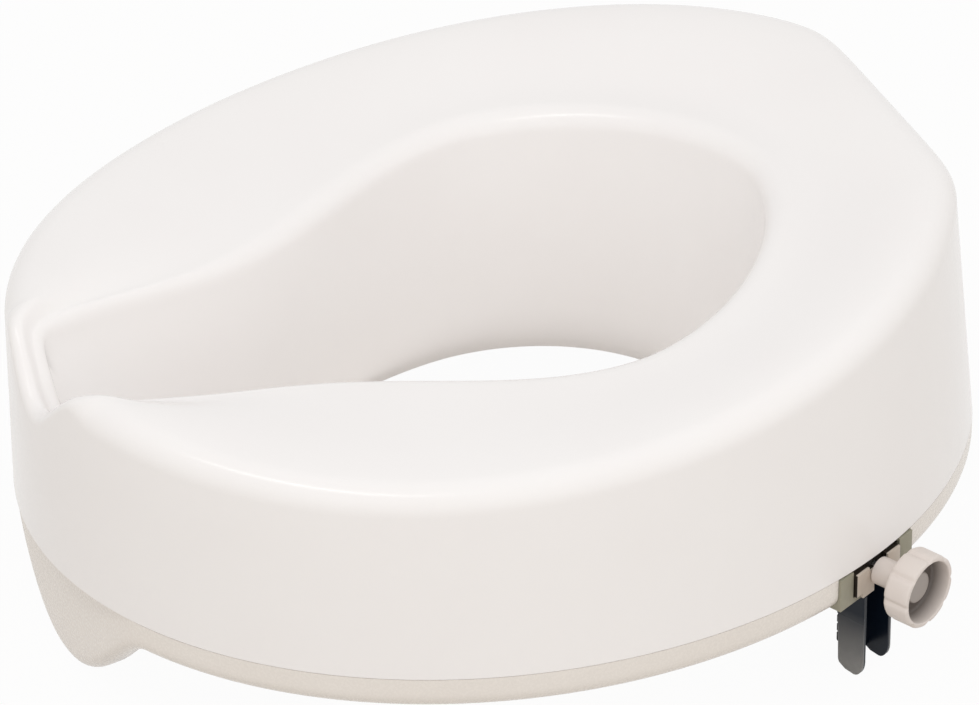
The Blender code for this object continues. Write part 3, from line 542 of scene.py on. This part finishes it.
# flange, outer wall, rim, seat face, inner rim, funnel and the collar that lines the hole
def shellSlice(angle):
    top, inner, foot = wallReach(angle, 1), openingReach(angle), wallReach(angle, 0)
    outerRound = min(seat["outerRound"], seat["roundShare"] * (top - inner))
    innerRound = min(seat["innerRound"], seat["roundShare"] * (top - inner))
    innerY = planPoint(angle, inner)[1]
    outerZ, innerZ = rimHeight(planPoint(angle, top)[1]), rimHeight(innerY) - dishDepth(innerY)
    quarter = arc(seat["roundSteps"])
    rim = [(top - outerRound * (1 - math.cos(t)), outerZ - outerRound * (1 - math.sin(t))) for t in quarter]
    start, end, steps = top - outerRound, inner + innerRound, seat["faceSteps"]
    for i in range(1, steps):
        rim.append((start + (end - start) * i / steps, outerZ + (innerZ - outerZ) * smoothStep(i / steps)))
    for t in quarter:
        rim.append((inner + innerRound * (1 - math.sin(t)), innerZ - innerRound * (1 - math.cos(t))))
    rim = [(radius, z - notchDepth(*planPoint(angle, radius))) for radius, z in rim]
    rows = [(foot - seat["flange"] - tray["lipStep"] * lipShare(angle), 0)]
    steps = seat["wallSteps"]
    rows += [(foot + (rim[0][0] - foot) * i / steps, rim[0][1] * i / steps) for i in range(steps)] + rim
    mouth, floor = holeReach(angle), -tray["band"]
    high, low = rim[-1][1], floor + hole["collar"]
    for i in range(1, hole["funnelSteps"] + 1):
        share = i / hole["funnelSteps"]
        rows.append((inner + (mouth - inner) * share ** hole["funnelPower"], high + (low - high) * share))
    rows += [(mouth, (floor + low) / 2), (mouth, floor)]
    return [seatPoint(angle, radius, z) for radius, z in rows]


# edge of the hole, floor, heel and toe of the lip, band, ledge, and the tongue inside the shell
def traySlice(angle):
    edge, share, floor = wallReach(angle, 0), lipShare(angle), -tray["band"]
    low, step = floor - tray["lipDrop"] * share, tray["lipStep"] * share
    brow = edge - step
    toe = brow - tray["lipTaper"] * share
    heel = toe - tray["bandRound"] - tray["lipFlat"]
    inner = heel - tray["lipRound"] - tray["lipHeel"]
    mouth = holeReach(angle) + seat["wall"] + tray["holeGap"]
    steps = tray["floorSteps"]
    rows = [(mouth + (inner - mouth) * i / steps, floor) for i in range(steps + 1)]
    knee, kneeZ = heel - tray["lipRound"], low + tray["lipRound"] * share
    steps = tray["heelSteps"]
    for i in range(1, steps):
        rows.append((inner + (knee - inner) * i / steps, floor + (kneeZ - floor) * smoothStep(i / steps)))
    for t in arc(tray["kneeSteps"]):
        fall = (1 - math.sin(t)) ** tray["kneePower"]
        rows.append((knee + (heel - knee) * math.sin(t), low + (kneeZ - low) * fall))
    bend = tray["bandRound"]
    for t in arc(tray["bandSteps"]):
        rows.append((toe - bend * (1 - math.sin(t)), low + bend * (1 - math.cos(t))))
    start, seam, steps = low + bend, -tray["seamGap"], tray["frontSteps"]
    for i in range(1, steps + 1):
        rows.append((toe + (brow - toe) * i / steps, start + (seam - start) * i / steps))
    tongue = step + seat["flange"] + tray["lapGap"]
    rows += [(edge - tongue, seam), (wallReach(angle, tray["lap"] / seat["rimLow"]) - tongue, tray["lap"])]
    return [seatPoint(angle, radius, z) for radius, z in rows]


# a line of points spun once round Z and pushed to the slices gives an open sheet, thickened inwards
def loftedWall(name, sliceOf, thickness, material, node):
    slices = [sliceOf(angle) for angle in seatColumns()]
    bm = bmesh.new()
    line = [bm.verts.new((1, 0, row)) for row in range(len(slices[0]))]
    edges = [bm.edges.new(pair) for pair in zip(line, line[1:])]
    bmesh.ops.spin(bm, geom=line + edges, cent=(0, 0, 0), axis=(0, 0, 1), angle=2 * math.pi,
                   steps=len(slices), use_merge=True)
    for vert in bm.verts:
        turn = math.atan2(vert.co.y, vert.co.x) % (2 * math.pi)
        column = round(turn / (2 * math.pi) * len(slices)) % len(slices)
        vert.co = slices[column][round(vert.co.z)]
    bm.normal_update()
    bmesh.ops.recalc_face_normals(bm, faces=bm.faces)
    piece = addPiece(name, bm, material, "root", node)
    wall = piece.modifiers.new("wall", "SOLIDIFY")
    wall.thickness = thickness
    wall.offset = -1
    wall.use_even_offset = True
    return piece


seatShell = loftedWall("seatShell", shellSlice, seat["wall"], whitePolypropylene, "seat_shell")
baseTray = loftedWall("baseTray", traySlice, tray["wall"], basePolypropylene, "base_tray")
print("seat body:", len(seatShell.data.vertices), len(baseTray.data.vertices))

# the guide's channel, on the clamp's own axes
guide = {"half": 0.024, "back": -0.081, "fit": 0.0003, "seam": 0.007, "cavityHalf": 0.0155, "roof": 0.0046,
         "roofSetback": 0.0035, "ease": 0.0004}
far = 0.1  # past the clamp on any side, for cuts that run out of a piece

for place in sides.values():
    cutBoxes(baseTray, place, ((guide["back"] - guide["fit"], -guide["half"] - guide["fit"], -far),
                               (far, guide["half"] + guide["fit"], guide["seam"])))
for piece in (seatShell, baseTray):
    easeEdges(piece, seat["edge"], seat["edgeLimit"])
print("pockets cut:", len(baseTray.data.vertices))


# the roof stands back over the sliding block, which leaves the dark slit above its plate
def clampGuide(side):
    node = "clamp_guide_" + side
    piece = addPiece("clampGuide" + side.title(), nodeCopy(node), guideNylon, "root", node)
    wide, low = guide["cavityHalf"], guide["roof"] - guide["fit"]
    cutBoxes(piece, sides[side], ((-guide["roofSetback"], -wide, low), (far, wide, far)))
    easeEdges(piece, guide["ease"])


# the plate at the front is narrower than its rails and relieved above the neck of the knob
def clampSlider(side):
    node = "clamp_slider_" + side
    piece = addPiece("clampSlider" + side.title(), nodeCopy(node), sliderFinish[side], "clamp_" + side, node)
    wide, deep, low = slider["relief"]
    narrow, plate = slider["half"] - slider["gap"], slider["front"] - slider["plate"]
    cutBoxes(piece, sides[side], ((plate, -far, -far), (far, -narrow, far)),
             ((plate, narrow, -far), (far, far, far)), ((-deep, -wide, low), (far, wide, far)))
    easeEdges(piece, slider["ease"])


# a channel pressed from sheet, its two long bends rounded
def clampArm(side):
    bm = nodeCopy("clamp_arm_" + side)
    bmesh.ops.transform(bm, matrix=sides[side].inverted(), verts=bm.verts)
    bends = []
    for edge in bm.edges:
        ends = [vert.co for vert in edge.verts]
        onWeb = all(abs(end.x - arm["back"]) < arm["onFace"] for end in ends)
        onSide = all(abs(abs(end.y) - arm["half"]) < arm["onFace"] for end in ends)
        if onWeb and onSide and edge.calc_length() > arm["bend"]:
            bends.append(edge)
    bmesh.ops.bevel(bm, geom=bends, offset=arm["bend"], segments=arm["bendSteps"], profile=0.5,
                    affect="EDGES", material=-1)
    bmesh.ops.transform(bm, matrix=sides[side], verts=bm.verts)
    piece = addPiece("clampArm" + side.title(), bm, armFinish[side], "clamp_" + side, "clamp_arm_" + side)
    easeEdges(piece, arm["ease"])
    print("arm", side, "bends:", len(bends))


# what turns with the knob is modelled along X and then put on its clamp's axes
def addTurning(name, bm, material, side, node):
    bmesh.ops.transform(bm, matrix=sides[side], verts=bm.verts)
    addPiece(name + side.title(), bm, material, "knob_" + side, node + side)


# neck, lobed skirt, rim, cup and hub in one profile, with a groove between lobes
def clampKnob(side):
    back, face, radius, neck = knob["back"], knob["face"], knob["radius"], knob["neck"]
    brim, floor = radius - knob["wall"], face - knob["cup"]
    hub = floor + knob["hubHeight"]
    profile = filleted([(knob["socket"], 0, 0), (knob["socket"], knob["bore"], 0),
                        (knob["neckEnd"], knob["bore"], 0), (knob["neckEnd"], neck, knob["neckRound"]),
                        (back, neck, knob["heelRound"]), (back, radius, knob["backRound"]),
                        (face, radius, knob["faceRound"]), (face, brim, knob["brimRound"]),
                        (floor, brim - knob["cupDraft"], knob["cupRound"]),
                        (floor, knob["hubRadius"], knob["hubFoot"]),
                        (hub, knob["hubRadius"] - knob["hubDraft"], knob["hubRound"]), (hub, 0, 0)])
    bm = spunProfile(profile, knob["lobes"] * knob["columns"])
    lobe = 2 * math.pi / knob["lobes"]
    for vert in bm.verts:
        size = math.hypot(vert.co.y, vert.co.z)
        skirt = smoothStep((size - brim) / (radius - brim))
        if skirt == 0:
            continue
        turn = math.atan2(vert.co.z, vert.co.y) % lobe
        offset = min(turn, lobe - turn) / knob["grooveAngle"]
        shrink = 1 - knob["groove"] * skirt * math.exp(-offset ** 2) / size
        vert.co.y *= shrink
        vert.co.z *= shrink
    addTurning("clampKnob", bm, knobFinish[side], side, "clamp_knob_")


spindle = {"radius": 0.0025, "outer": 0.0177, "end": -0.0695, "tip": 0.001, "threadFrom": -0.0105,
           "pitch": 0.002, "depth": 0.00042, "rowsPerTurn": 8, "columns": 32, "waist": 0.0019,
           "groove": (-0.0045, -0.0061), "slack": 0.0001}
washer = {"front": -0.0033, "thick": 0.0012, "bore": 0.0028, "radius": 0.004, "opening": 0,
          "innerRound": 0.0002, "outerRound": 0.0003, "roundSteps": 3, "columns": 64}
clip = {"front": -0.0048, "thick": 0.001, "bore": 0.0022, "radius": 0.0038, "opening": math.radians(70),
        "innerRound": 0.0001, "outerRound": 0.0002, "roundSteps": 2, "columns": 52}
nut = {"ease": 0.0005}


# rod with a retaining groove and a thread of 2 mm pitch
def threadedSpindle(side):
    radius, waist, (grooveFront, grooveBack) = spindle["radius"], spindle["waist"], spindle["groove"]
    points = [(spindle["outer"], 0), (spindle["outer"], radius), (grooveFront, radius), (grooveFront, waist),
              (grooveBack, waist), (grooveBack, radius), (spindle["threadFrom"], radius)]
    step = spindle["pitch"] / spindle["rowsPerTurn"]
    rows = int((spindle["threadFrom"] - spindle["end"] - spindle["tip"]) / step)
    points += [(spindle["threadFrom"] - step * i, radius) for i in range(1, rows + 1)]
    points += [(spindle["end"], radius - spindle["tip"]), (spindle["end"], 0)]
    bm = spunProfile(points, spindle["columns"])
    for vert in bm.verts:
        size = math.hypot(vert.co.y, vert.co.z)
        if vert.co.x > spindle["threadFrom"] - step / 2 or size < radius - spindle["slack"]:
            continue
        turn = vert.co.x / spindle["pitch"] - math.atan2(vert.co.z, vert.co.y) / (2 * math.pi)
        runOut = min((spindle["threadFrom"] - vert.co.x) / spindle["pitch"], 1)
        shrink = 1 - spindle["depth"] * runOut * abs(2 * (turn % 1) - 1) / size
        vert.co.y *= shrink
        vert.co.z *= shrink
    addTurning("spindle", bm, zincPlate, side, "spindle_")


# a flat ring on the spindle, open at one side where it is a clip
def flatRing(ring):
    front, back = ring["front"], ring["front"] - ring["thick"]
    bore, radius, inner, outer = (ring[key] for key in ("bore", "radius", "innerRound", "outerRound"))
    profile = filleted([(front, bore, inner), (front, radius, outer), (back, radius, outer),
                        (back, bore, inner)], ring["roundSteps"])
    return spunProfile(profile, ring["columns"], ring=True, angle=2 * math.pi - ring["opening"])


def thrustWasher(side):
    addTurning("thrustWasher", flatRing(washer), zincPlate, side, "thrust_washer_")


def spindleClip(side):
    addTurning("spindleClip", flatRing(clip), zincPlate, side, "spindle_clip_")


def spindleNut(side):
    node = "spindle_nut_" + side
    piece = addPiece("spindleNut" + side.title(), nodeCopy(node), zincPlate, "root", node)
    easeEdges(piece, nut["ease"])


screw = {"head": 0.0015, "headRadius": 0.003, "dome": 0.0010, "shank": 0.0015, "underRound": 0.0002,
         "tipRound": 0.0003, "columns": 48, "slot": 0.0016, "slotHalf": 0.00032, "slotDepth": 0.0009}


# pan head screw with a cross recess, driven upwards
def panScrew(name, node, body):
    low, high = (Vector(corner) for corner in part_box(node))
    length = high.z - low.z - screw["head"]
    wide, shank, under = screw["headRadius"], screw["shank"], screw["underRound"]
    profile = filleted([(-screw["head"], 0, 0), (-screw["head"], wide, screw["dome"]), (0, wide, under),
                        (0, shank, under), (length - shank, shank, screw["tipRound"]), (length, 0, 0)])
    bm = spunProfile(profile, screw["columns"])
    place = Matrix.Translation(((low.x + high.x) / 2, (low.y + high.y) / 2, low.z + screw["head"]))
    bmesh.ops.transform(bm, matrix=place @ Matrix.Rotation(-math.pi / 2, 4, "Y"), verts=bm.verts)
    piece = addPiece(name, bm, zincPlate, body, node)
    long, thin = screw["slot"], screw["slotHalf"]
    top = screw["slotDepth"] - screw["head"]
    cutBoxes(piece, place, ((-long, -thin, -far), (long, thin, top)))
    cutBoxes(piece, place, ((-thin, -long, -far), (thin, long, top)))


pad = {"length": 0.044, "width": 0.018, "thick": 0.0045, "corner": 0.0063, "cornerSteps": 6, "grooves": 5,
       "pitch": 0.0065, "grooveHalf": 0.0010, "grooveDepth": 0.0014, "ease": 0.0004,
       "front": math.radians(52), "rear": math.radians(157)}
grip = {"front": -0.0158, "low": -0.040, "ribs": 4, "pitch": 0.0044, "grooveHalf": 0.0006,
        "grooveDepth": 0.0010, "ease": 0.0002}


# rubber pad under the tray, grooved across so that it grips the bowl
def bowlPad(name, node, angle):
    low, high = (Vector(corner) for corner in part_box(node))
    long, wide, corner = pad["length"] / 2, pad["width"] / 2, pad["corner"]
    outline = filleted([(-long, -wide, corner), (long, -wide, corner), (long, wide, corner),
                        (-long, wide, corner)], pad["cornerSteps"])
    bm = bmesh.new()
    face = bm.faces.new([bm.verts.new((x, y, 0)) for x, y in outline])
    grown = bmesh.ops.extrude_face_region(bm, geom=[face])
    moved = [item for item in grown["geom"] if isinstance(item, bmesh.types.BMVert)]
    bmesh.ops.translate(bm, verts=moved, vec=(0, 0, -pad["thick"]))
    bmesh.ops.recalc_face_normals(bm, faces=bm.faces)
    middle = ((low.x + high.x) / 2, (low.y + high.y) / 2, high.z)
    place = Matrix.Translation(middle) @ Matrix.Rotation(angle, 4, "Z")
    bmesh.ops.transform(bm, matrix=place, verts=bm.verts)
    piece = addPiece(name, bm, nitrileRubber, "root", node)
    half, top = pad["grooveHalf"], pad["grooveDepth"] - pad["thick"]
    starts = [pad["pitch"] * (i - (pad["grooves"] - 1) / 2) for i in range(pad["grooves"])]
    cutBoxes(piece, place, *[((x - half, -far, -far), (x + half, far, top)) for x in starts])
    easeEdges(piece, pad["ease"])


# rubber pad on the bowl side of the arm, ribbed across
def gripPad(side):
    node = "grip_pad_" + side
    piece = addPiece("gripPad" + side.title(), nodeCopy(node), nitrileRubber, "clamp_" + side, node)
    half, deep = grip["grooveHalf"], grip["front"] + grip["grooveDepth"]
    levels = [grip["low"] + grip["pitch"] * (i + 1) for i in range(grip["ribs"])]
    cutBoxes(piece, sides[side], *[((-far, -far, z - half), (deep, far, z + half)) for z in levels])
    easeEdges(piece, grip["ease"])


for side in sides:
    for build in (clampGuide, clampSlider, clampArm, clampKnob, threadedSpindle, thrustWasher, spindleClip,
                  spindleNut, gripPad):
        build(side)
    for end in ("front", "rear"):
        tail = "_" + end + "_" + side
        title = end.title() + side.title()
        panScrew("guideScrew" + title, "guide_screw" + tail, "root")
        panScrew("armScrew" + title, "arm_screw" + tail, "clamp_" + side)
        turn = pad[end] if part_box("bowl_pad" + tail)[0][0] > 0 else -pad[end]
        bowlPad("bowlPad" + title, "bowl_pad" + tail, turn)
    print("clamp", side, "dressed")
print("nodes still showing:", [name for name, node in nodes.items() if not node.hide_render])

studio = {"azimuth": 65.401, "elevation": 34.126, "distance": 3.9348, "lens": 348.5, "sensor": 36,
          "target": (0.003, 0.0029, 0.0986), "lampTarget": (0, 0, 0.1), "floor": "#D3CDC6", "floorHalf": 8,
          "glow": 0.96, "sky": 0.76}
# a wash lamp lights the object without showing in its gloss, so the only highlight is the strip's thin line
# holeBox stands for the white paper below the hole, which lights the funnel
softboxes = {
    "cameraBox": {"size": (1.6, 1.6), "watts": 5.0, "place": (1.82, -0.83, 1.0), "wash": True},
    "rightBox": {"size": (1.8, 1.8), "watts": 4.2, "place": (1.7, 1.5, 1.1), "wash": True},
    "stripBox": {"size": (1.5, 0.1), "watts": 5.6, "place": (0.63, -0.9, 2.0), "wash": False},
    "holeBox": {"size": (0.14, 0.2), "watts": 0.025, "place": (0, -0.007, 0.044), "wash": True,
                "target": (0, -0.007, 1)}}


def aim(item, target):
    item.rotation_euler = (Vector(target) - item.location).to_track_quat("-Z", "Y").to_euler()


def addSoftbox(name, box):
    lamp = bpy.data.lights.new(name, "AREA")
    lamp.shape = "ELLIPSE"
    lamp.size, lamp.size_y = box["size"]
    lamp.energy = box["watts"]
    item = bpy.data.objects.new(name, lamp)
    item.location = box["place"]
    item.visible_camera = False
    item.visible_glossy = not box["wash"]
    aim(item, box.get("target", studio["lampTarget"]))
    scene.collection.objects.link(item)


# 1 for what the camera sees straight, in a gloss or through glass
def seenDirectly(tree):
    path = addNode(tree, "ShaderNodeLightPath").outputs
    gloss = addNode(tree, "ShaderNodeMath", {0: path["Is Camera Ray"], 1: path["Is Glossy Ray"]},
                    operation="MAXIMUM")
    clear = addNode(tree, "ShaderNodeMath", {0: gloss.outputs[0], 1: path["Is Transmission Ray"]},
                    operation="MAXIMUM")
    return clear.outputs[0]


def whiteFloor():
    bm = bmesh.new()
    bmesh.ops.create_grid(bm, x_segments=1, y_segments=1, size=studio["floorHalf"])
    mesh = bpy.data.meshes.new("studioFloor")
    bm.to_mesh(mesh)
    bm.free()
    material = bpy.data.materials.new("paleFloor")
    material.use_nodes = True
    tree = material.node_tree
    tree.nodes.clear()
    paper = addNode(tree, "ShaderNodeBsdfDiffuse", {"Color": linearColour(studio["floor"])})
    glow = addNode(tree, "ShaderNodeEmission", {"Color": (1, 1, 1, 1), "Strength": 1.0})
    share = addNode(tree, "ShaderNodeMath", {0: seenDirectly(tree), 1: studio["glow"]}, operation="MULTIPLY")
    mix = addNode(tree, "ShaderNodeMixShader", {0: share.outputs[0], 1: paper.outputs[0], 2: glow.outputs[0]})
    addNode(tree, "ShaderNodeOutputMaterial", {"Surface": mix.outputs[0]})
    mesh.materials.append(material)
    floor = bpy.data.objects.new("studioFloor", mesh)
    scene.collection.objects.link(floor)


def whiteWorld():
    world = bpy.data.worlds.new("studio")
    scene.world = world
    world.use_nodes = True
    tree = world.node_tree
    tree.nodes.clear()
    seen = addNode(tree, "ShaderNodeBackground", {"Color": (1, 1, 1, 1), "Strength": 1.0})
    light = addNode(tree, "ShaderNodeBackground", {"Color": (1, 1, 1, 1), "Strength": studio["sky"]})
    mix = addNode(tree, "ShaderNodeMixShader", {
        0: seenDirectly(tree), 1: light.outputs[0], 2: seen.outputs[0]})
    addNode(tree, "ShaderNodeOutputWorld", {"Surface": mix.outputs[0]})


def photoCamera():
    turn, tilt = math.radians(studio["azimuth"]), math.radians(studio["elevation"])
    back = Vector((math.sin(turn) * math.cos(tilt), -math.cos(turn) * math.cos(tilt), math.sin(tilt)))
    lens = bpy.data.cameras.new("photoCamera")
    lens.lens = studio["lens"]
    lens.sensor_width = studio["sensor"]
    lens.sensor_fit = "HORIZONTAL"
    camera = bpy.data.objects.new("photoCamera", lens)
    camera.location = Vector(studio["target"]) + back * studio["distance"]
    aim(camera, studio["target"])
    scene.collection.objects.link(camera)
    scene.camera = camera


whiteFloor()
whiteWorld()
for name, box in softboxes.items():
    addSoftbox(name, box)
photoCamera()
print("studio set")
